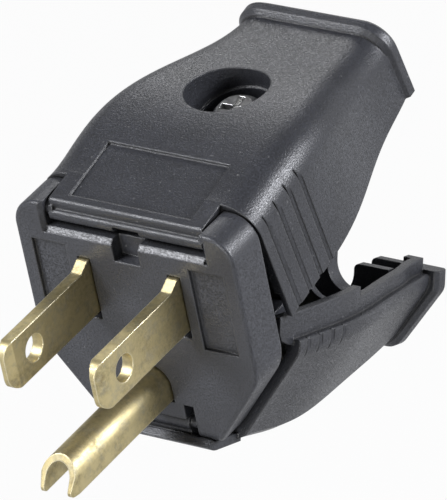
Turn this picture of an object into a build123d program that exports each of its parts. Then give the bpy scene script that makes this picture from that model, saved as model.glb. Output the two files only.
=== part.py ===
"""Grounded plug: a face block with two blades and a ground pin, between two hinged covers."""

import os

from build123d import *

# All sizes in mm: x across the blades, y back from the face, z up, origin between the blades
face_half, face_top, face_bottom = 15.5, 11.0, -19.25
shoulder_z, shoulder_round, bottom_half = -8.7, 6.5, 7.7
face_depth, plate_thick, rim_thick = 5.5, 2.5, 1.0
ear_width, ear_round, ear_bevel, face_edge = 4.3, 3.6, 0.5, 0.45
seat_drop, seat_bevel = 3.4, 0.62
window_half, window_low, window_deep = 1.85, 4.85, 1.8
panel_inner, panel_margin, panel_low, panel_high, panel_deep = 8.7, 2.0, -5.3, 5.8, 0.5
hollow_top, hollow_low, hollow_rise, hollow_spread = 6.0, -16.0, 0.9, 1.2

# Blades and ground pin
blade_x, blade_thick, blade_width, blade_reach = 6.35, 1.5, 6.35, 17.9
blade_round, blade_bevel, blade_lead, blade_gap = 1.9, 0.45, 1.5, 0.15
hole_y, hole_r, root_top, blade_z = -12.75, 1.72, 4.25, 0.2
pin_z, pin_r, pin_sheet, pin_reach, pin_leg, pin_gap = -11.89, 2.41, 0.75, 21.0, 1.95, 0.2
crown_y, nose_drop, taper_y, nose_taper, nose_round = -18.6, 1.2, -19.8, 0.3, 0.55
pin_tail, ground_tab = 1.9, 3.6

# Upper hinge, lower hinge and how far each cover stands open, in degrees
top_y, top_drop, top_open, top_stub_r, top_stub = 1.9, 1.5, 11.8, 0.94, 1.8
low_y, low_open, low_stub_r, low_stub = 1.65, 21.3, 0.8, 2.8
bar_gap, bar_front, bar_step, bar_back = 0.4, 0.7, 1.5, 2.9
step_drop, bar_drop, bar_round = 1.25, 2.7, 0.55
barrel_r, barrel_half, finger_slot, finger_tall = 1.15, 3.6, 1.4, 5.05
lip_outer, lip_inner, lip_turn, lip_half = 2.95, 1.85, 38, 6.9
top_z, low_z = face_top - top_drop, face_bottom + low_y
notch_half = face_half - ear_width
bar_half = notch_half - bar_gap

# Covers when shut: sections across the plug, front to back
cover_gap, front_gap, lower_edge, cord_z = 0.3, 0.4, -6.6, -6.4
neck_end, rear_end = 41.6, 43.7
cover_half, cover_front, floor_z = face_half - cover_gap, face_depth + front_gap, low_z - lip_outer
upper_sections = [  # depth, inset of the side, draft, edge, drop of the roof, corner radius
    (cover_front, 0.0, 0.0, -6.3, 0.0, 4.4),
    (13.0, 0.0, 0.0, -6.3, 0.0, 4.4),
    (19.0, 0.2, 0.0, -6.3, 0.3, 4.4),
    (24.5, 1.1, 0.1, -6.25, 1.4, 4.4),
    (30.0, 2.5, 0.2, -6.1, 3.2, 4.3),
    (35.5, 3.6, 0.4, -5.85, 5.2, 4.2),
    (neck_end, 4.3, 0.6, -5.55, 6.7, 4.0),
]
lower_sections = [  # depth, inset of the side, rise of the shoulder, inset of the floor, rise of the floor
    (cover_front, 0.0, 0.5, 0.3, 0.05),
    (13.0, 0.0, 0.5, -0.2, -0.05),
    (19.0, 0.35, 0.5, -0.1, 0.4),
    (24.5, 1.3, 0.5, 0.4, 1.35),
    (30.0, 2.55, 0.55, 1.0, 2.35),
    (35.5, 3.7, 0.6, 1.5, 3.45),
    (neck_end, 4.8, 0.6, 2.2, 4.85),
]
upper_side, upper_roof, lower_wall, rebate_wall = 1.4, 1.9, 1.8, 0.75
lower_round, ledge_bevel, keel_bevel = 3.0, 0.2, 1.1

# Rear flanges, as beads round the neck
flange_inset, flange_draft, flange_edge, flange_top, flange_round = 3.85, 0.5, -5.55, 5.1, 4.2
flange_wide, flange_low, flange_foot, flange_side, flange_keel = 3.6, -6.15, 5.7, -8.6, -16.9
bead_bevel, low_bead_bevel = 0.6, 0.5

# Tongue of the lower cover, inside the upper cover's edge
tongue_gap, tongue_thick, tongue_front, tongue_low = 0.95, 1.1, 2.9, -7.3
tongue_step, tongue_top, lip_top, lip_end, hook_thick = 20.9, -3.4, -4.7, 41.4, 1.1

# Wire guides: depths, inset of the inner edge, top, insets in tongue, wall and floor, rise of the foot
guides = [
    (15.4, 16.4, 3.7, -0.6, 1.7, 1.0, 0.1, 1.25),
    (20.0, 22.2, 1.0, 0.6, 2.3, 1.7, 0.8, 1.95),
]
cove_inset, cove_z, cove_r = 2.6, -1.0, 3.2

# Label panel, grip grooves and the assembly screw
label_half, label_front, label_back, label_deep = 8.6, 2.9, 12.0, 0.35
groove_first, groove_pitch, groove_count = 7.5, 2.5, 4
groove_deep, groove_slot, groove_ramp, groove_wide = 0.42, 0.2, 0.14, 0.75
screw_y, bore_r, bore_ledge, seat_r, bore_floor = 24.8, 5.15, 4.9, 4.9, -0.5
post_r, post_end = 6.5, -3.0
head_top, head_tall, head_r, head_round, shank_r, shank_end = 6.2, 2.4, 3.1, 0.8, 1.9, -4.7
boss_r, boss_top, pilot_r, shank_gap = 3.6, -5.2, 2.0, 0.08

# Cord entry
rib_ys, rib_thick, rib_top, rib_round = (35.8, 39.7), 1.2, -5.2, 0.7
cord_r, cord_start, mouth_r, mouth_start = 3.5, 33.0, 7.2, 40.3

# Terminals
tab_thick, tab_end, tab_out, term_x, term_y, ground_y = 1.25, 14.3, 12.0, 9.2, 10.0, 9.6
clamp_size, clamp_thick, clamp_lift, clamp_bevel = 6.0, 1.0, 1.0, 0.5
term_r, term_head_r, term_head_tall, term_gap = 2.0, 2.7, 1.7, 0.06
wall_half, wall_end, wall_top, shelf_inset, shelf_top, shelf_low = 1.0, 15.0, 6.8, 3.9, -6.2, -7.4
shelf_half = face_half - shelf_inset

os.makedirs("parts", exist_ok=True)


def section(y):
    """The plane across the plug at depth y, with x to the right and z up."""
    return Plane((0, y, 0), x_dir=(1, 0, 0), z_dir=(0, -1, 0))


def block(x0, x1, y0, y1, z0, z1, mode=Mode.ADD):
    """A box between two corners."""
    with Locations(((x0 + x1) / 2, (y0 + y1) / 2, (z0 + z1) / 2)):
        Box(abs(x1 - x0), abs(y1 - y0), abs(z1 - z0), mode=mode)


def rod(x0, x1, y, z, r, mode=Mode.ADD):
    """A cylinder along x."""
    with Locations(Location(((x0 + x1) / 2, y, z), (0, 90, 0))):
        Cylinder(r, abs(x1 - x0), mode=mode)


def bar(y0, y1, x, z, r, mode=Mode.ADD):
    """A cylinder along y."""
    with Locations(Location((x, (y0 + y1) / 2, z), (90, 0, 0))):
        Cylinder(r, abs(y1 - y0), mode=mode)


def post(x, y, z0, z1, r, mode=Mode.ADD):
    """A cylinder along z."""
    with Locations((x, y, (z0 + z1) / 2)):
        Cylinder(r, abs(z1 - z0), mode=mode)


def cross_recess(x, y, z0, z1, reach, wide):
    """The crossed driver slots of a screw head."""
    block(x - reach, x + reach, y - wide / 2, y + wide / 2, z0, z1, Mode.SUBTRACT)
    block(x - wide / 2, x + wide / 2, y - reach, y + reach, z0, z1, Mode.SUBTRACT)


def grip_grooves(low, high):
    """Grooves across both sides, each a narrow slot with a ramp behind it."""
    edge, out = cover_half - 0.1, cover_half + 0.4
    with BuildSketch(Plane.XY.offset(low)) as cuts:
        for k in range(groove_count):
            y = groove_first + k * groove_pitch
            for x in (-1, 1):
                with BuildLine():
                    Polyline(
                        (x * out, y), (x * (edge - groove_deep), y),
                        (x * (edge - groove_deep), y + groove_slot),
                        (x * (edge - groove_ramp), y + groove_slot), (x * edge, y + groove_wide),
                        (x * out, y + groove_wide), close=True,
                    )
                make_face()
    extrude(cuts.sketch, amount=high - low, mode=Mode.SUBTRACT)


# Face block
with BuildPart() as face_block:
    with BuildSketch(Plane.XZ) as outline:
        with BuildLine():
            Polyline(
                (-face_half, face_top),
                (face_half, face_top),
                (face_half, shoulder_z),
                (bottom_half, face_bottom),
                (-bottom_half, face_bottom),
                (-face_half, shoulder_z),
                close=True,
            )
        make_face()
        fillet(outline.vertices().group_by(Axis.Y)[-1], ear_round)
        shoulders = outline.vertices().filter_by_position(Axis.Y, shoulder_z - 0.1, shoulder_z + 0.1)
        fillet(shoulders, shoulder_round)
    extrude(amount=-face_depth)
    # Hollow behind the plate, with a rim left round it
    with BuildSketch(section(plate_thick)):
        with BuildLine():
            side, foot = face_half - rim_thick, bottom_half + hollow_spread
            Polyline(
                (-side, hollow_top),
                (side, hollow_top),
                (side, shoulder_z + hollow_rise),
                (foot, hollow_low),
                (-foot, hollow_low),
                (-side, shoulder_z + hollow_rise),
                close=True,
            )
        make_face()
    extrude(amount=-face_depth, mode=Mode.SUBTRACT)
    # Rounded front edge along the bottom, where the lower cover rolls round it
    bottom_front = face_block.edges().filter_by(Axis.X).group_by(Axis.Z)[0].sort_by(Axis.Y)[0]
    fillet(bottom_front, low_y - 0.02)
    # Seat of the upper cover's bar, with a bevelled front edge
    seat_z = face_top - seat_drop
    with BuildSketch(Plane.YZ):
        with BuildLine():
            Polyline(
                (-1, face_top + 1), (-1, seat_z - seat_bevel - 1), (seat_bevel, seat_z),
                (face_depth + 1, seat_z), (face_depth + 1, face_top + 1), close=True,
            )
        make_face()
    extrude(amount=notch_half, both=True, mode=Mode.SUBTRACT)
    for x in (-1, 1):
        end = bar_half + top_stub + 0.2
        rod(x * (notch_half - 0.5), x * end, top_y, top_z, top_stub_r + 0.06, Mode.SUBTRACT)
    # Square window at the top, two bare panels and the blade slots
    block(-window_half, window_half, -1, window_deep, window_low, seat_z + 0.4, Mode.SUBTRACT)
    for x in (-1, 1):
        end = face_half - panel_margin
        block(x * panel_inner, x * end, -1, panel_deep, panel_low, panel_high, Mode.SUBTRACT)
        side = blade_thick / 2 + blade_gap
        low, high = blade_z - blade_width / 2 - 1.1, root_top + 0.2
        block(x * (blade_x - side), x * (blade_x + side), -1, plate_thick + 1.5, low, high, Mode.SUBTRACT)
    # Hole of the ground pin
    side = pin_r + pin_gap
    bar(-1, plate_thick + 1.5, 0, pin_z, side, Mode.SUBTRACT)
    block(-side, side, -1, plate_thick + 1.5, pin_z - pin_leg - 0.3, pin_z, Mode.SUBTRACT)
    # Snap finger over the lower hinge, with a slot on each side, and the sockets
    side, back, under = barrel_half + 0.2, face_depth + 0.5, face_bottom - 1
    block(-side, side, -1, back, under, low_z + barrel_r + 0.15, Mode.SUBTRACT)
    for x in (-1, 1):
        block(x * side, x * (side + finger_slot), -1, back, under, face_bottom + finger_tall, Mode.SUBTRACT)
        rod(x * side, x * (barrel_half + low_stub + 0.2), low_y, low_z, low_stub_r + 0.06, Mode.SUBTRACT)
    # Barriers between the terminals, and the walls that carry their tabs
    block(-wall_half, wall_half, plate_thick, wall_end, shelf_low + 0.9, wall_top)
    block(-shelf_half, shelf_half, plate_thick, wall_end, shelf_low, shelf_top)
    for x in (-1, 1):
        block(x * (term_x - 1.6), x * shelf_half, tab_end - 1.1, tab_end + 0.1, shelf_top - 0.2,
              root_top - tab_thick - 0.05)
    block(-3.4, 3.4, tab_end - 1.9, tab_end - 0.7, pin_z + pin_r + 0.05, shelf_low + 0.2)
    # Rounded outline on both sides, then bevelled inner corners on the ears
    for x in (-1, 1):
        front = face_block.faces().filter_by(Axis.Y).group_by(Axis.Y)[0].sort_by(SortBy.AREA)[-1]
        near, far = sorted((x * (notch_half + 0.1), x * (face_half + 1)))
        fillet(front.outer_wire().edges().filter_by_position(Axis.X, near, far), face_edge)
    with BuildSketch(Plane.XY.offset(seat_z - seat_bevel)):
        for x in (-1, 1):
            with BuildLine():
                Polyline(
                    (x * (notch_half - 0.1), -1), (x * (notch_half + ear_bevel + 1), -1),
                    (x * notch_half, ear_bevel), (x * (notch_half - 0.1), ear_bevel), close=True,
                )
            make_face()
    extrude(amount=seat_drop + seat_bevel + 1, mode=Mode.SUBTRACT)

# Upper cover, shut
with BuildPart() as upper_hollow:
    for y, inset, draft, edge, drop, r in upper_sections:
        depth = {cover_front: cover_front - 1.4, neck_end: neck_end - 1.0}.get(y, y)
        with BuildSketch(section(depth)) as ring:
            with BuildLine():
                w, high = cover_half - inset - upper_side, face_top - drop - upper_roof
                Polyline((-w, -8.0), (w, -8.0), (w - draft, high), (draft - w, high), close=True)
            make_face()
            chamfer(ring.vertices().group_by(Axis.Y)[-1], 0.6 * (r - upper_side))
    loft(ruled=True)
    post(0, screw_y, post_end, face_top + 1, post_r, Mode.SUBTRACT)
    for y in rib_ys:
        block(-12, 12, y - rib_thick / 2, y + rib_thick / 2, rib_top + 1.1, face_top + 1, Mode.SUBTRACT)

with BuildPart() as upper_flange:
    with BuildSketch(section(neck_end - 0.2)) as ring:
        with BuildLine():
            w = cover_half - flange_inset
            Polyline(
                (-w, flange_edge), (w, flange_edge), (w - flange_draft, flange_top),
                (flange_draft - w, flange_top), close=True,
            )
        make_face()
        fillet(ring.vertices().group_by(Axis.Y)[-1], flange_round)
    extrude(amount=neck_end - 0.2 - rear_end)
    rims = upper_flange.edges().filter_by(Plane.XZ)
    chamfer(rims.filter_by_position(Axis.Z, flange_edge + 0.1, flange_top + 1), bead_bevel)

with BuildPart() as upper_shell:
    for y, inset, draft, edge, drop, r in upper_sections:
        with BuildSketch(section(y)) as ring:
            with BuildLine():
                w, high = cover_half - inset, face_top - drop
                Polyline((-w, edge), (w, edge), (w - draft, high), (draft - w, high), close=True)
            make_face()
            fillet(ring.vertices().group_by(Axis.Y)[-1], r)
    loft()
    add(upper_flange.part)
    # Roof forward to the hinge, ending in a stepped bar
    with BuildSketch(Plane.YZ) as steps:
        with BuildLine():
            back, step, under = cover_front + 0.5, face_top - step_drop, face_top - bar_drop
            Polyline(
                (back, face_top), (bar_step, face_top), (bar_step, step), (bar_front, step),
                (bar_front, under),
                (bar_back, under), (bar_back + 0.4, face_top - upper_roof), (back, face_top - upper_roof),
                close=True,
            )
        make_face()
        fillet(steps.vertices().sort_by(Axis.X)[0:2], bar_round)
        corners = steps.vertices().filter_by_position(Axis.X, bar_step - 0.1, bar_step + 0.1)
        fillet(corners.sort_by(Axis.Y)[-1], bar_round)
    extrude(amount=bar_half, both=True)
    add(upper_hollow.part, mode=Mode.SUBTRACT)
    for x in (-1, 1):
        rod(x * (bar_half - 0.5), x * (bar_half + top_stub), top_y, top_z, top_stub_r)
    block(-window_half, window_half, 0, bar_step, under - 0.3, step - 0.45, Mode.SUBTRACT)
    # Stepped screw bore, label panel, cord opening
    post(0, screw_y, bore_ledge, face_top + 3, bore_r, Mode.SUBTRACT)
    post(0, screw_y, bore_floor, bore_ledge + 1, seat_r, Mode.SUBTRACT)
    post(0, screw_y, post_end - 1, bore_floor + 1, shank_r + shank_gap, Mode.SUBTRACT)
    floor = face_top - label_deep
    block(-label_half, label_half, label_front, label_back, floor, face_top + 1, Mode.SUBTRACT)
    bar(cord_start, mouth_start + 0.7, 0, cord_z, cord_r, Mode.SUBTRACT)
    bar(mouth_start, rear_end + 2, 0, cord_z, mouth_r, Mode.SUBTRACT)
    # Rebate along both edges for the lower cover's tongue
    with BuildSketch(Plane.XY.offset(lower_edge - 0.7)):
        for x in (-1, 1):
            with BuildLine():
                row = [(cover_half - inset - rebate_wall, y) for y, inset, *_ in upper_sections[1:-1]]
                row.append((cover_half - upper_sections[-1][1] - rebate_wall, lip_end + 0.3))
                outer = Spline([(x * a, y) for a, y in row], tangents=((0, 1), (0, 1)))
                deep = row[0][0] - tongue_thick - 1.1
                Polyline(
                    outer @ 1, (x * (row[-1][0] - 3.4), lip_end + 0.3), (x * deep, row[1][1]),
                    (x * deep, face_depth - 0.5), (x * row[0][0], face_depth - 0.5), outer @ 0,
                )
            make_face()
    extrude(amount=tongue_top + 0.6 - lower_edge + 0.7, mode=Mode.SUBTRACT)
    grip_grooves(lower_edge - 0.7, face_top - 2.3)

with BuildPart() as upper_cover:
    add(upper_shell.part.rotate(Axis((0, top_y, top_z), (1, 0, 0)), top_open))

# Lower cover, shut
with BuildPart() as lower_hollow:
    for y, inset, lift, narrow, rise in lower_sections:
        depth = {cover_front: cover_front - 1.4, neck_end: neck_end - 1.0}.get(y, y)
        with BuildSketch(section(depth)) as ring:
            with BuildLine():
                w, foot = cover_half - inset - lower_wall, bottom_half - narrow - 0.6
                shoulder, bottom = shoulder_z + lift, floor_z + rise + lower_wall
                Polyline(
                    (-w, lower_edge + 1.6), (w, lower_edge + 1.6), (w, shoulder),
                    (foot, bottom), (-foot, bottom), (-w, shoulder), close=True,
                )
            make_face()
    loft(ruled=True)
    post(0, screw_y, floor_z - 1, boss_top, boss_r, Mode.SUBTRACT)
    for y in rib_ys:
        block(-12, 12, y - rib_thick / 2, y + rib_thick / 2, floor_z - 1, rib_top, Mode.SUBTRACT)

with BuildPart() as lower_flange:
    with BuildSketch(section(neck_end - 0.2)) as ring:
        with BuildLine():
            w = cover_half - flange_wide
            Polyline(
                (-w, flange_low), (w, flange_low), (w, flange_side),
                (flange_foot, flange_keel), (-flange_foot, flange_keel), (-w, flange_side), close=True,
            )
        make_face()
        fillet(ring.vertices().filter_by_position(Axis.Y, flange_side - 0.1, flange_side + 0.1), 2.0)
        fillet(ring.vertices().group_by(Axis.Y)[0], 2.4)
    extrude(amount=neck_end - 0.2 - rear_end)
    rims = lower_flange.edges().filter_by(Plane.XZ)
    chamfer(rims.filter_by_position(Axis.Z, flange_keel - 1, flange_low - 0.1), low_bead_bevel)

with BuildPart() as lower_shell:
    for y, inset, lift, narrow, rise in lower_sections:
        with BuildSketch(section(y)) as ring:
            with BuildLine():
                w, foot = cover_half - inset, bottom_half - narrow
                shoulder, bottom = shoulder_z + lift, floor_z + rise
                Polyline(
                    (-w, lower_edge), (w, lower_edge), (w, shoulder),
                    (foot, bottom), (-foot, bottom), (-w, shoulder), close=True,
                )
            make_face()
            fillet(ring.vertices().filter_by_position(Axis.Y, shoulder - 0.1, shoulder + 0.1), lower_round)
            chamfer(ring.vertices().group_by(Axis.Y)[-1], ledge_bevel)
            chamfer(ring.vertices().group_by(Axis.Y)[0], keel_bevel)
    loft()
    add(lower_flange.part)
    add(lower_hollow.part, mode=Mode.SUBTRACT)
    # Floor forward under the face block, ending in a lip that rolls round its edge
    with BuildSketch(Plane.YZ):
        with BuildLine():
            under = CenterArc((low_y, low_z), lip_outer, -90, -lip_turn)
            over = CenterArc((low_y, low_z), lip_inner, -90, -lip_turn)
            Line(under @ 1, over @ 1)
            back = cover_front + 0.7
            Polyline(over @ 0, (back, low_z - lip_inner), (back, floor_z), under @ 0)
        make_face()
    extrude(amount=lip_half, both=True)
    # Hinge barrel with a stub at each end, on a web from the floor
    rod(-barrel_half, barrel_half, low_y, low_z, barrel_r)
    block(-barrel_half, barrel_half, low_y - 0.5, low_y + 2.0, low_z - lip_inner - 0.45, low_z)
    for x in (-1, 1):
        rod(x * (barrel_half - 0.5), x * (barrel_half + low_stub), low_y, low_z, low_stub_r)
    # Tongue along both edges: tall in front, a low lip behind
    root = lower_edge - 1.8
    with BuildSketch(Plane.XY.offset(root)):
        for x in (-1, 1):
            with BuildLine():
                row = [(cover_half - inset - tongue_gap, y) for y, inset, *_ in lower_sections[1:-1]]
                row.append((cover_half - lower_sections[-1][1] - tongue_gap, lip_end))
                outer = Spline([(x * a, y) for a, y in row], tangents=((0, 1), (0, 1)))
                inner = Spline([(x * (a - tongue_thick), y) for a, y in row], tangents=((0, 1), (0, 1)))
                Line(outer @ 1, inner @ 1)
                Polyline(
                    outer @ 0, (x * row[0][0], tongue_front),
                    (x * (row[0][0] - tongue_thick), tongue_front), inner @ 0,
                )
            make_face()
    extrude(amount=tongue_top - root)
    block(-16, 16, tongue_step, rear_end + 1, lip_top, 0, Mode.SUBTRACT)
    hook = row[-1][0] - tongue_thick
    for x in (-1, 1):
        block(x * (hook - 1.05), x * (hook + 0.25), lip_end - hook_thick, lip_end, root, lip_top)
    # Front end of the tongue, rounded off below
    with BuildSketch(Plane.YZ):
        with BuildLine():
            Polyline(
                (tongue_front - 1, root - 0.6), (cover_front, root - 0.6), (cover_front, tongue_low),
                (tongue_front + 1.8, tongue_low + 0.3), (tongue_front + 0.5, tongue_low + 1.0),
                (tongue_front, tongue_low + 1.9), (tongue_front - 1, tongue_low + 1.9), close=True,
            )
        make_face()
    extrude(amount=face_half + 1, both=True, mode=Mode.SUBTRACT)
    # Cord ribs, open at the top, with rounded corners
    for y in rib_ys:
        block(-8.4, 8.4, y - rib_thick / 2, y + rib_thick / 2, lower_edge - 1.4, rib_top)
    bar(cord_start, mouth_start + 0.7, 0, cord_z, cord_r, Mode.SUBTRACT)
    block(-cord_r, cord_r, cord_start, mouth_start + 0.7, cord_z, 0, Mode.SUBTRACT)
    bar(mouth_start, rear_end + 2, 0, cord_z, mouth_r, Mode.SUBTRACT)
    crests = lower_shell.edges().filter_by(Axis.Y).filter_by_position(Axis.Z, rib_top - 0.05, rib_top + 0.05)
    fillet(crests.filter_by_position(Axis.X, -cord_r - 0.05, cord_r + 0.05), rib_round)
    # Coved wire guides that rise from the tongue towards the middle
    for y0, y1, inner, high, rim, wall, narrow, rise in guides:
        with BuildSketch(section(y0)):
            for x in (-1, 1):
                with BuildLine():
                    middle = cover_half - cove_inset
                    cove = CenterArc((x * middle, cove_z), cove_r, 90 + 90 * x, 90 * x)
                    low, foot, floor = cove_z - cove_r, bottom_half - narrow, floor_z + rise
                    inside = bottom_half - inner
                    Polyline(
                        cove @ 1, (x * (cover_half - rim), low), (x * (cover_half - rim), lower_edge - 0.9),
                        (x * (cover_half - wall), lower_edge - 1.4), (x * foot, floor), (x * inside, floor),
                        (x * inside, high), (x * (middle - cove_r), high), cove @ 0,
                    )
                make_face()
        extrude(amount=y0 - y1)
    post(0, screw_y, floor_z + 2.5, boss_top + 1, pilot_r, Mode.SUBTRACT)
    grip_grooves(lower_edge - 3.9, lower_edge + 1.1)

with BuildPart() as lower_cover:
    add(lower_shell.part.rotate(Axis((0, low_y, low_z), (1, 0, 0)), -low_open))

# Blades: line on the left seen from the blades' side, neutral on the right
with BuildPart() as line_blade:
    with BuildSketch(Plane.YZ.offset(-blade_x)) as flat:
        with BuildLine():
            low, high = blade_z - blade_width / 2, blade_z + blade_width / 2
            Polyline(
                (-blade_reach, low), (-blade_reach, high), (-1.9, high), (-0.4, root_top),
                (tab_end, root_top), (tab_end, 1.0), (6.0, 1.0), (4.6, low), close=True,
            )
        make_face()
        fillet(flat.vertices().group_by(Axis.X)[0], blade_round)
        with Locations((hole_y, blade_z)):
            Circle(hole_r, mode=Mode.SUBTRACT)
    extrude(amount=blade_thick / 2, both=True)
    # Lead-in: both sides of the tip thinned on a slope
    with BuildSketch(Plane.XY.offset(low)):
        for x in (-1, 1):
            with BuildLine():
                side = -blade_x + x * blade_thick / 2
                Polyline(
                    (side, blade_lead - blade_reach), (side - x * blade_bevel, -blade_reach),
                    (side - x * blade_bevel, -blade_reach - 1), (side + x, blade_lead - blade_reach), close=True,
                )
            make_face()
    extrude(amount=blade_width, mode=Mode.SUBTRACT)
    block(-blade_x + blade_thick / 2, -tab_out, face_depth, tab_end, root_top - tab_thick, root_top)
    post(-term_x, term_y, 0, root_top + 2, term_r + term_gap, Mode.SUBTRACT)

with BuildPart() as neutral_blade:
    add(mirror(line_blade.part, about=Plane.YZ))

# Ground pin: sheet folded to an inverted U, its terminal tab behind the plate
with BuildPart() as ground_pin:
    with BuildSketch(section(-pin_reach)):
        with Locations((0, pin_z)):
            Circle(pin_r)
            Rectangle(2 * pin_r, pin_leg, align=(Align.CENTER, Align.MAX))
            Circle(pin_r - pin_sheet, mode=Mode.SUBTRACT)
            gap = 2 * (pin_r - pin_sheet)
            Rectangle(gap, 2 * pin_leg, align=(Align.CENTER, Align.MAX), mode=Mode.SUBTRACT)
        with Locations((0, pin_z - pin_leg)):
            Rectangle(2 * pin_r, pin_r, align=(Align.CENTER, Align.MAX), mode=Mode.SUBTRACT)
    extrude(amount=-pin_reach - plate_thick - pin_tail)
    # Nose: crown cut back on a slope, legs tapered and rounded at the tip
    with BuildSketch(Plane.YZ):
        with BuildLine():
            high, tip = pin_z + pin_r, -pin_reach
            Polyline(
                (tip - 1, high + 1), (crown_y, high + 1), (crown_y, high), (tip, pin_z - nose_drop),
                (tip - 1, pin_z - nose_drop), close=True,
            )
        make_face()
    extrude(amount=pin_r + 1, both=True, mode=Mode.SUBTRACT)
    with BuildSketch(Plane.YZ):
        with Locations((tip, pin_z - pin_leg)):
            Rectangle(nose_round, nose_round, align=(Align.MIN, Align.MIN))
        with Locations((tip + nose_round, pin_z - pin_leg + nose_round)):
            Circle(nose_round, mode=Mode.SUBTRACT)
    extrude(amount=pin_r + 1, both=True, mode=Mode.SUBTRACT)
    with BuildSketch(Plane.XY.offset(pin_z - pin_r - pin_leg)):
        for x in (-1, 1):
            with BuildLine():
                Polyline(
                    (x * pin_r, taper_y), (x * (pin_r - nose_taper), tip),
                    (x * (pin_r - nose_taper), tip - 1), (x * (pin_r + 1), tip - 1),
                    (x * (pin_r + 1), taper_y), close=True,
                )
            make_face()
    extrude(amount=2 * pin_r + pin_leg + 1, mode=Mode.SUBTRACT)
    block(-ground_tab, ground_tab, plate_thick + 0.05, tab_end - 0.5, high - pin_sheet, high)
    post(0, ground_y, high - pin_sheet - 1, high + 1, term_r + term_gap, Mode.SUBTRACT)

# Wire clamp plates and terminal screws
with BuildPart() as line_clamp:
    with Locations((-term_x, term_y, root_top + clamp_lift + clamp_thick / 2)):
        Box(clamp_size, clamp_size, clamp_thick)
    chamfer(line_clamp.edges().filter_by(Axis.Z), clamp_bevel)
    post(-term_x, term_y, root_top, root_top + 5, term_r + 0.25, Mode.SUBTRACT)

with BuildPart() as neutral_clamp:
    add(mirror(line_clamp.part, about=Plane.YZ))

with BuildPart() as ground_clamp:
    under = pin_z + pin_r - pin_sheet
    with Locations((0, ground_y, under - clamp_lift - clamp_thick / 2)):
        Box(clamp_size, clamp_size, clamp_thick)
    chamfer(ground_clamp.edges().filter_by(Axis.Z), clamp_bevel)
    post(0, ground_y, under - 5, under, term_r + 0.25, Mode.SUBTRACT)

with BuildPart() as line_screw:
    seat = root_top + clamp_lift + clamp_thick
    post(-term_x, term_y, seat, seat + term_head_tall, term_head_r)
    chamfer(line_screw.edges().group_by(Axis.Z)[-1], 0.45)
    post(-term_x, term_y, root_top - tab_thick - 2.4, seat, term_r)
    chamfer(line_screw.edges().group_by(Axis.Z)[0], 0.5)
    cross_recess(-term_x, term_y, seat + 0.8, seat + term_head_tall + 1, 1.6, 0.7)

with BuildPart() as neutral_screw:
    add(mirror(line_screw.part, about=Plane.YZ))

with BuildPart() as ground_screw:
    seat = under - clamp_lift - clamp_thick
    post(0, ground_y, seat - term_head_tall, seat, term_head_r)
    chamfer(ground_screw.edges().group_by(Axis.Z)[0], 0.45)
    post(0, ground_y, seat, under + pin_sheet + 0.88, term_r)
    chamfer(ground_screw.edges().group_by(Axis.Z)[-1], 0.5)
    cross_recess(0, ground_y, seat - term_head_tall - 1, seat - 0.8, 1.6, 0.7)

# Assembly screw, drawn back in the upper cover's bore
with BuildPart() as shut_screw:
    post(0, screw_y, head_top - head_tall, head_top, head_r)
    chamfer(shut_screw.edges().group_by(Axis.Z)[-1], head_round)
    post(0, screw_y, shank_end, head_top - head_tall, shank_r)
    chamfer(shut_screw.edges().group_by(Axis.Z)[0], 0.6)
    cross_recess(0, screw_y, head_top - 1.3, head_top + 1, 2.0, 0.85)

with BuildPart() as assembly_screw:
    add(shut_screw.part.rotate(Axis((0, top_y, top_z), (1, 0, 0)), top_open))

pieces = {
    "face_block": face_block,
    "upper_cover": upper_cover,
    "lower_cover": lower_cover,
    "line_blade": line_blade,
    "neutral_blade": neutral_blade,
    "ground_pin": ground_pin,
    "line_clamp": line_clamp,
    "neutral_clamp": neutral_clamp,
    "ground_clamp": ground_clamp,
    "line_screw": line_screw,
    "neutral_screw": neutral_screw,
    "ground_screw": ground_screw,
    "assembly_screw": assembly_screw,
}
for name, piece in pieces.items():
    piece.part.label = name
    export_step(piece.part, f"parts/{name}.step")
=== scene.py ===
"""Grounded plug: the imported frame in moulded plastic, tarnished brass and plated steel."""

from math import cos, radians, sin

import bpy
from mathutils import Matrix, Vector


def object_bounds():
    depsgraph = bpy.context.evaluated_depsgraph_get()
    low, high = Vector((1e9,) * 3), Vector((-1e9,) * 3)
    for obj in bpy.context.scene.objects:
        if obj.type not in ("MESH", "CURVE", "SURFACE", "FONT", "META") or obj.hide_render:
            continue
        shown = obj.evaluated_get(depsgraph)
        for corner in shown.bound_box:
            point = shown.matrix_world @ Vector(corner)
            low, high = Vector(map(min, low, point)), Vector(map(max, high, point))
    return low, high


MM = 0.001

# The photograph's view: angles, distance, focal length and where the axis meets the image
IMAGE_WIDTH, IMAGE_HEIGHT = 447, 500
VIEW_AZIMUTH, VIEW_ELEVATION, VIEW_ROLL = 40.376, 32.234, -12.276
VIEW_DISTANCE, FOCAL_PIXELS = 721.8 * MM, 6227.8
AXIS_PIXEL = (131.18, 302.39)
SENSOR_WIDTH = 36.0
CLIP_NEAR, CLIP_FAR = 0.05, 20.0

# The view was measured about a point this far in front of the frame's origin
FACE_OFFSET = 0.8 * MM

# Room below the plug for the lower cover to swing fully open, then the floor's half width and look
FLOOR_DROP, FLOOR_HALF = 28 * MM, 3.0
FLOOR_TONE, FLOOR_ROUGHNESS = 0.36, 0.9

# How white the camera and reflections see the floor, the rest shows the plug's shadow
FLOOR_SEEN, FLOOR_MIRRORED = 0.94, 0.2

# Light from all around, and the white walls, which dim upwards from the horizon
AMBIENT = 0.18
WALL_DIMMING = {"From Min": 0.02, "From Max": 0.25, "To Min": 1.0, "To Max": 0.08}

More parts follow.
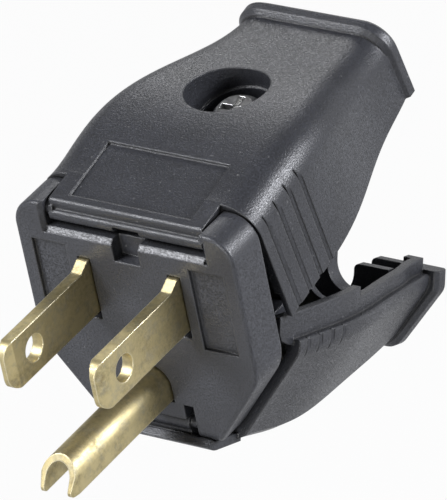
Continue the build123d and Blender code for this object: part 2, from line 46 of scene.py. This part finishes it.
# Soft lamps: name, direction from the plug, width, height, power and colour
LAMP_DISTANCE = 0.5
LAMPS = (
    ("key_softbox", (-0.48, -0.50, 0.72), 0.22, 0.22, 3.0, (0.95, 0.96, 1.0)),
    ("right_softbox", (0.84, 0.40, 0.42), 0.26, 0.14, 3.2, (0.93, 0.945, 1.0)),
    ("back_softbox", (-0.42, 0.76, 0.48), 0.26, 0.12, 0.42, (1, 1, 1)),
    ("fill_softbox", (0.10, -0.97, 0.16), 0.24, 0.12, 1.3, (1, 1, 1)),
)

WHITE = (1, 1, 1, 1)
BRASS_CLEAN = (0.62, 0.53, 0.29, 1)
BRASS_TARNISHED = (0.22, 0.175, 0.085, 1)
BRASS_FILMED = (0.44, 0.41, 0.31, 1)
BRASS_EDGE = (0.86, 0.80, 0.58, 1)
GREEN_DARK, GREEN_LIGHT = (0.03, 0.16, 0.06, 1), (0.06, 0.26, 0.11, 1)

# The slight blue of the charcoal plastic
COOL = -0.16

# Sockets of a colour Mix node, and rays per sample of the edge and corner nodes
MIX_FACTOR, MIX_FIRST, MIX_SECOND, MIX_RESULT = 0, 6, 7, 2
EDGE_SAMPLES = 6

# How far the rounded normal leans on a flat and on a full edge
FLAT_COSINE, EDGE_COSINE = 0.985, 0.86

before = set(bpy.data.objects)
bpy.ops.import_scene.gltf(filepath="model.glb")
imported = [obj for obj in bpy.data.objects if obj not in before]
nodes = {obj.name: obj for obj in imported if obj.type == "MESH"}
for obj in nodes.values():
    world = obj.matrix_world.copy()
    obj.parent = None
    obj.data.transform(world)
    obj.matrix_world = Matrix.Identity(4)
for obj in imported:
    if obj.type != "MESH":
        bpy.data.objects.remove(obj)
cad_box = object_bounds()


def add_node(tree, kind, inputs=None, **settings):
    """A node with its settings, its inputs set to values or joined to sockets."""
    made = tree.nodes.new(kind)
    for key, value in settings.items():
        setattr(made, key, value)
    for key, value in (inputs or {}).items():
        if isinstance(value, bpy.types.NodeSocket):
            tree.links.new(value, made.inputs[key])
        else:
            made.inputs[key].default_value = value
    return made


class Shader:
    """A new material and short ways to add and join its nodes."""

    def __init__(self, name):
        self.material = bpy.data.materials.new(name)
        self.material.use_nodes = True
        self.tree = self.material.node_tree
        self.surface = self.tree.nodes["Principled BSDF"]
        self.coords = self.node("ShaderNodeTexCoord").outputs["Object"]

    def node(self, kind, inputs=None, **settings):
        """A node of this material."""
        return add_node(self.tree, kind, inputs, **settings)

    def feed(self, name, socket):
        """Joins a socket to the surface shader's input."""
        self.tree.links.new(socket, self.surface.inputs[name])

    def fix(self, name, value):
        """Sets the surface shader's input to a value."""
        self.surface.inputs[name].default_value = value

    def noise(self, size, detail=2.0, rough=0.5, stretch=(1, 1, 1)):
        """Noise with features about size across, in metres, stretched along the axes."""
        scales = [1 / along for along in stretch]
        scaled = self.node("ShaderNodeMapping", {"Vector": self.coords, "Scale": scales}).outputs["Vector"]
        settings = {"Vector": scaled, "Scale": 1 / size, "Detail": detail, "Roughness": rough}
        return self.node("ShaderNodeTexNoise", settings).outputs["Fac"]

    def spread(self, socket, low, high, to_low=0.0, to_high=1.0):
        """Maps low to high onto another range, clamped."""
        ranges = {"From Min": low, "From Max": high, "To Min": to_low, "To Max": to_high}
        return self.node("ShaderNodeMapRange", {"Value": socket, **ranges}).outputs["Result"]

    def mix(self, factor, first, second):
        """A colour between two, each a colour or a socket."""
        inputs = {MIX_FACTOR: factor, MIX_FIRST: first, MIX_SECOND: second}
        return self.node("ShaderNodeMix", inputs, data_type="RGBA").outputs[MIX_RESULT]

    def math(self, operation, first, second):
        """One sum of two values or sockets."""
        return self.node("ShaderNodeMath", {0: first, 1: second}, operation=operation).outputs["Value"]

    def times(self, first, second):
        """The product of two values or sockets."""
        return self.math("MULTIPLY", first, second)

    def rounded(self, radius):
        """The normal with every edge rounded to radius."""
        return self.node("ShaderNodeBevel", {"Radius": radius}, samples=EDGE_SAMPLES).outputs["Normal"]

    def openness(self, reach):
        """1 in the open and lower in corners, as far as reach from them."""
        near = self.node("ShaderNodeAmbientOcclusion", {"Distance": reach}, samples=EDGE_SAMPLES)
        return near.outputs["AO"]

    def bump(self, height, strength, distance, normal):
        """A bumped normal on top of another one."""
        inputs = {"Height": height, "Strength": strength, "Distance": distance, "Normal": normal}
        return self.node("ShaderNodeBump", inputs).outputs["Normal"]

    def edges(self, rounded):
        """1 on the object's edges and 0 on its flats, from how far the rounded normal leans."""
        flat = self.node("ShaderNodeNewGeometry").outputs["Normal"]
        lean = self.node("ShaderNodeVectorMath", {0: rounded, 1: flat}, operation="DOT_PRODUCT")
        return self.spread(lean.outputs["Value"], FLAT_COSINE, EDGE_COSINE)


def grey(value, warmth=0.0):
    """A nearly neutral colour."""
    return (value * (1 + warmth / 4), value, value * (1 - warmth), 1.0)


def moulded_plastic(name, tone, grain, pit_roughness):
    """Charcoal plastic with an eroded mould grain, painted shade in its corners, a cloudy sheen and rubbed
    edges.
    """
    dark, light, pit = (grey(tone * share, COOL) for share in (0.96, 1.28, 0.4))
    # corner is the colour of painted shade, which is laid into corners and crevices below
    fleck, worn, corner = grey(tone * 5.0), grey(tone * 2.2, -0.02), grey(tone * 0.3)
    shader = Shader(name)
    soft = shader.rounded(0.36 * MM)
    clouds = shader.noise(5.5 * MM, detail=3)
    speckle = shader.noise(0.22 * MM, detail=2, rough=0.65)
    grains = shader.spread(speckle, 0.39, 0.61)
    dust = shader.spread(shader.noise(0.5 * MM, detail=1), 0.735, 0.78)
    body = shader.mix(shader.spread(clouds, 0.35, 0.65), dark, light)
    pitted = shader.mix(grains, pit, body)
    dusted = shader.mix(shader.times(dust, 0.45), pitted, fleck)
    rubbed = shader.mix(shader.times(shader.edges(soft), 0.35), dusted, worn)
    # Painted shade: the base colour darkens towards corner wherever ambient occlusion finds nearby
    # surfaces
    in_the_open = shader.spread(shader.openness(1.0 * MM), 0.35, 0.8)
    shader.feed("Base Color", shader.mix(in_the_open, corner, rubbed))
    shader.feed("Roughness", shader.math("SUBTRACT", pit_roughness, shader.times(grains, 0.22)))
    grained = shader.bump(speckle, grain, 0.09 * MM, soft)
    shader.feed("Normal", shader.bump(clouds, 0.12, 0.12 * MM, grained))
    return shader.material


def brass(name):
    """Stamped brass: drawn along its length, dulled and greyed in patches, bright on its cut edges."""
    shader = Shader(name)
    soft = shader.rounded(0.22 * MM)
    drawn = shader.noise(0.11 * MM, detail=3, stretch=(1, 22, 1))
    patches = shader.noise(3.2 * MM, detail=4, rough=0.62)
    spots = shader.noise(0.55 * MM, detail=3, rough=0.7)
    film = shader.noise(1.6 * MM, detail=4, rough=0.7)
    dull = shader.times(shader.spread(patches, 0.38, 0.64), shader.spread(spots, 0.32, 0.66))
    metal = shader.mix(shader.times(dull, 0.85), BRASS_CLEAN, BRASS_TARNISHED)
    filmed = shader.mix(shader.spread(film, 0.48, 0.72, 0.0, 0.6), metal, BRASS_FILMED)
    shader.feed("Base Color", shader.mix(shader.edges(soft), filmed, BRASS_EDGE))
    shader.fix("Metallic", 1.0)
    streaks = shader.spread(drawn, 0.3, 0.7, 0.38, 0.50)
    shader.feed("Roughness", shader.math("ADD", streaks, shader.times(dull, 0.14)))
    grained = shader.bump(spots, 0.15, 0.03 * MM, soft)
    shader.feed("Normal", shader.bump(drawn, 0.18, 0.02 * MM, grained))
    return shader.material


def plated_steel(name):
    """Zinc-plated screw steel with turning marks and a slightly uneven sheen."""
    shader = Shader(name)
    soft = shader.rounded(0.15 * MM)
    marks = shader.noise(0.09 * MM, detail=3, stretch=(4, 4, 1))
    film = shader.noise(1.1 * MM, detail=3)
    shader.feed("Base Color", shader.mix(shader.spread(film, 0.35, 0.65), grey(0.55), grey(0.80, 0.015)))
    shader.fix("Metallic", 1.0)
    shader.feed("Roughness", shader.spread(marks, 0.3, 0.7, 0.30, 0.48))
    shader.feed("Normal", shader.bump(marks, 0.15, 0.02 * MM, soft))
    return shader.material


def green_dye(name):
    """Steel screw dyed green, thin on its edges."""
    shader = Shader(name)
    soft = shader.rounded(0.15 * MM)
    film = shader.noise(0.7 * MM, detail=3)
    dyed = shader.mix(shader.spread(film, 0.35, 0.65), GREEN_DARK, GREEN_LIGHT)
    shader.feed("Base Color", shader.mix(shader.times(shader.edges(soft), 0.5), dyed, grey(0.5)))
    shader.fix("Metallic", 0.7)
    shader.feed("Roughness", shader.spread(film, 0.3, 0.7, 0.28, 0.42))
    shader.feed("Normal", shader.bump(film, 0.1, 0.03 * MM, soft))
    return shader.material


def dress(material, *names):
    """Gives CAD nodes a material."""
    for name in names:
        nodes[name].data.materials.clear()
        nodes[name].data.materials.append(material)


def add_object(name, data):
    """A new object in the scene."""
    made = bpy.data.objects.new(name, data)
    bpy.context.scene.collection.objects.link(made)
    return made


def place_camera():
    """The photograph's camera, turned so that its axis meets the middle of the image."""
    azimuth, elevation, roll = (radians(v) for v in (VIEW_AZIMUTH, VIEW_ELEVATION, VIEW_ROLL))
    back = Vector((sin(azimuth) * cos(elevation), -cos(azimuth) * cos(elevation), sin(elevation)))
    level = Vector((0, 0, 1)).cross(back).normalized()
    upright = back.cross(level)
    right = cos(roll) * level + sin(roll) * upright
    up = cos(roll) * upright - sin(roll) * level
    position = VIEW_DISTANCE * back - Vector((0, FACE_OFFSET, 0))
    across = (IMAGE_WIDTH / 2 - AXIS_PIXEL[0]) / FOCAL_PIXELS
    above = (AXIS_PIXEL[1] - IMAGE_HEIGHT / 2) / FOCAL_PIXELS
    away = (back - across * right - above * up).normalized()
    side = (right - right.dot(away) * away).normalized()
    turn = Matrix((side, away.cross(side), away)).transposed()
    camera = bpy.data.cameras.new("camera")
    camera.sensor_width = camera.sensor_height = SENSOR_WIDTH
    camera.lens = SENSOR_WIDTH * FOCAL_PIXELS / IMAGE_HEIGHT
    camera.clip_start, camera.clip_end = CLIP_NEAR, CLIP_FAR
    holder = add_object("camera", camera)
    holder.matrix_world = Matrix.Translation(position) @ turn.to_4x4()
    bpy.context.scene.camera = holder


def softbox(name, towards, width, height, power, colour):
    """A rectangular area light that faces the middle of the plug."""
    lamp = bpy.data.lights.new(name, "AREA")
    lamp.shape, lamp.size, lamp.size_y = "RECTANGLE", width, height
    lamp.energy, lamp.color = power, colour
    middle = (Vector(cad_box[0]) + Vector(cad_box[1])) / 2
    ray = Vector(towards).normalized()
    turn = ray.to_track_quat("Z", "Y").to_matrix().to_4x4()
    add_object(name, lamp).matrix_world = Matrix.Translation(middle + LAMP_DISTANCE * ray) @ turn


def white_where_seen(tree, plain, white, seen_share=1.0, mirror_share=1.0):
    """A plain shader that turns white, by a share, for the camera and in reflections."""
    path = add_node(tree, "ShaderNodeLightPath")
    factor = 0.0
    for ray, share in (("Camera", seen_share), ("Glossy", mirror_share), ("Transmission", mirror_share)):
        terms = {0: path.outputs["Is %s Ray" % ray], 1: share, 2: factor}
        total = add_node(tree, "ShaderNodeMath", terms, operation="MULTIPLY_ADD", use_clamp=True)
        factor = total.outputs["Value"]
    sides = {0: factor, 1: plain.outputs[0], 2: white.outputs[0]}
    return add_node(tree, "ShaderNodeMixShader", sides).outputs[0]


def light_room():
    """White surroundings under a dim ceiling, and soft studio light."""
    world = bpy.data.worlds.new("studio")
    world.use_nodes = True
    bpy.context.scene.world = world
    tree = world.node_tree
    ambient = tree.nodes["Background"]
    ambient.inputs["Color"].default_value = WHITE
    ambient.inputs["Strength"].default_value = AMBIENT
    direction = add_node(tree, "ShaderNodeTexCoord").outputs["Generated"]
    height = add_node(tree, "ShaderNodeSeparateXYZ", {0: direction}).outputs["Z"]
    dimming = add_node(tree, "ShaderNodeMapRange", {"Value": height, **WALL_DIMMING}).outputs["Result"]
    walls = add_node(tree, "ShaderNodeBackground", {"Color": WHITE, "Strength": dimming})
    tree.links.new(white_where_seen(tree, ambient, walls), tree.nodes["World Output"].inputs["Surface"])
    for lamp in LAMPS:
        softbox(*lamp)


def lay_floor():
    """A wide pale floor below the plug."""
    bottom = cad_box[0][2] - FLOOR_DROP
    corners = [(x * FLOOR_HALF, y * FLOOR_HALF, bottom) for x, y in ((-1, -1), (1, -1), (1, 1), (-1, 1))]
    mesh = bpy.data.meshes.new("floor")
    mesh.from_pydata(corners, [], [(0, 1, 2, 3)])
    floor = add_object("floor", mesh)
    shader = Shader("pale_floor")
    shader.fix("Base Color", grey(FLOOR_TONE))
    shader.fix("Roughness", FLOOR_ROUGHNESS)
    white = shader.node("ShaderNodeEmission", {"Color": WHITE, "Strength": 1.0})
    shown = white_where_seen(shader.tree, shader.surface, white, FLOOR_SEEN, FLOOR_MIRRORED)
    shader.tree.links.new(shown, shader.tree.nodes["Material Output"].inputs["Surface"])
    mesh.materials.append(shader.material)


cover_plastic = moulded_plastic("cover_plastic", tone=0.038, grain=0.55, pit_roughness=0.46)
dress(cover_plastic, "upper_cover", "lower_cover")
dress(moulded_plastic("face_plastic", tone=0.046, grain=0.3, pit_roughness=0.49), "face_block")
stamped_brass = brass("stamped_brass")
dress(stamped_brass, "line_blade", "neutral_blade", "ground_pin")
dress(stamped_brass, "line_clamp", "neutral_clamp", "ground_clamp", "line_screw")
dress(plated_steel("screw_steel"), "neutral_screw", "assembly_screw")
dress(green_dye("ground_green"), "ground_screw")
place_camera()
light_room()
lay_floor()
bpy.context.scene.view_settings.view_transform = "Standard"
